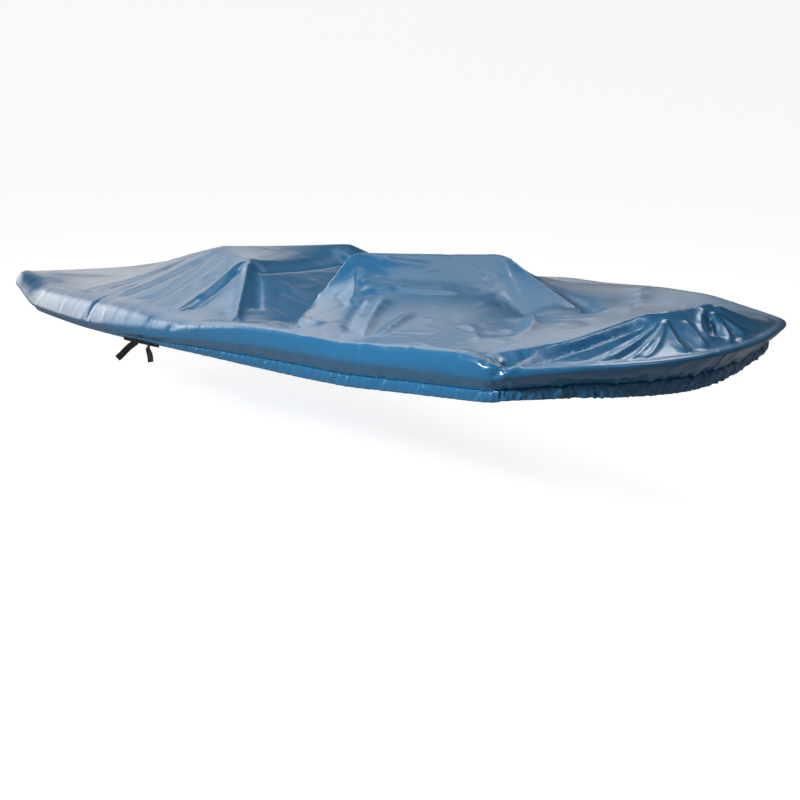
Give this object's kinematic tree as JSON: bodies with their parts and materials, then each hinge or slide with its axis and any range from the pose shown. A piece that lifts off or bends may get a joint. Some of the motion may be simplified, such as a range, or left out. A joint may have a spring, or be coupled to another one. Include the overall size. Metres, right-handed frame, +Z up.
{
  "type": "fitted boat cover",
  "caption": "Fitted boat cover of coated cloth, hollow underneath, draped over two seats and a raised bow, with a gathered elastic hem and a webbing tie.",
  "frame": {"origin": "the boat's rail plane amidships on the centreline, under the cover's top", "axes": "+X towards the bow, +Y to port, +Z up"},
  "size_m": [3.6393, 1.5339, 0.5305],
  "materials": {
    "coated_polyester": "glossy coated blue",
    "black_webbing": "matt woven"
  },
  "bodies": {
    "root": {"cover": "coated_polyester", "tie_band": "black_webbing", "tie_tail_aft": "black_webbing", "tie_tail_fore": "black_webbing"}
  },
  "joints": []
}
